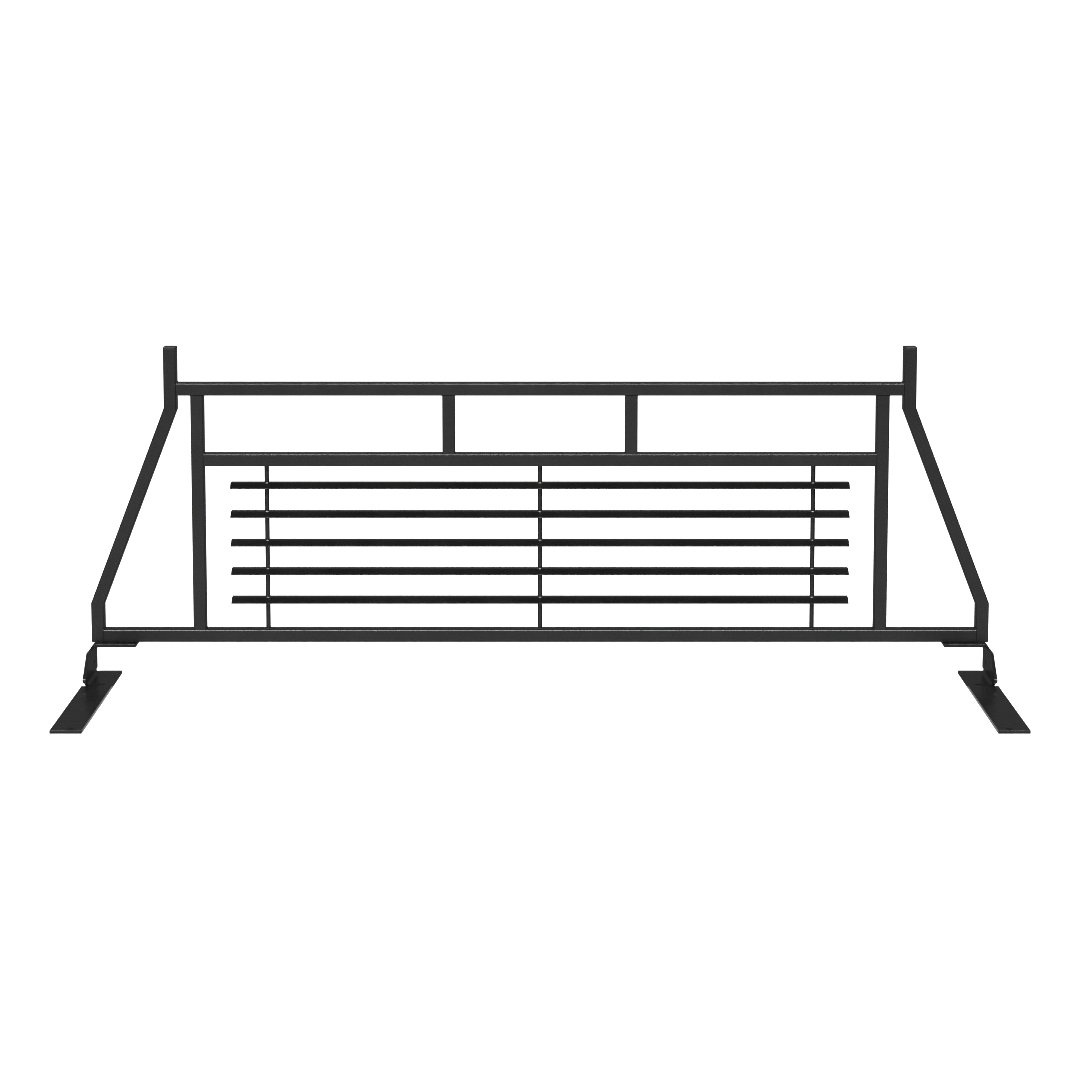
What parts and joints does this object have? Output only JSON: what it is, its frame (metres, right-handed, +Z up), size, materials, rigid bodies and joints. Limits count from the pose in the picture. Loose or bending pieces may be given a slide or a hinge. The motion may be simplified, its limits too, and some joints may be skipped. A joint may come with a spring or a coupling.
{
  "type": "ladder rack",
  "caption": "Welded tube rack that stands across a pickup truck's bed behind the cab, with louver slats over the rear window and bolt-down feet on the bed walls.",
  "frame": {"origin": "on the plane that the feet rest on, midway between the feet and midway along them", "axes": "+X to the right as seen from behind the truck, +Y forward to the cab, +Z up"},
  "size_m": [1.857, 0.5746, 0.683],
  "materials": {
    "powder_coat": "satin black powder coat",
    "black_plastic": "moulded black plastic",
    "zinc_plate": "bright zinc plate",
    "bare_steel": "turned steel"
  },
  "bodies": {
    "root": {"bottom_rail": "powder_coat", "bracket_bolts": "zinc_plate", "bracket_washers": "zinc_plate", "inner_post_left": "powder_coat", "inner_post_right": "powder_coat", "louver_rod_centre": "powder_coat", "louver_rod_left": "powder_coat", "louver_rod_right": "powder_coat", "louver_slat_1": "powder_coat", "louver_slat_2": "powder_coat", "louver_slat_3": "powder_coat", "louver_slat_4": "powder_coat", "louver_slat_5": "powder_coat", "lower_stub_left": "powder_coat", "lower_stub_right": "powder_coat", "middle_rail": "powder_coat", "mounting_bracket_left": "powder_coat", "mounting_bracket_right": "powder_coat", "short_post_left": "powder_coat", "short_post_right": "powder_coat", "side_brace_left": "powder_coat", "side_brace_right": "powder_coat", "stub_plug_left": "black_plastic", "stub_plug_right": "black_plastic", "threaded_bungs": "bare_steel", "top_rail": "powder_coat", "upper_stub_left": "powder_coat", "upper_stub_right": "powder_coat"}
  },
  "joints": []
}
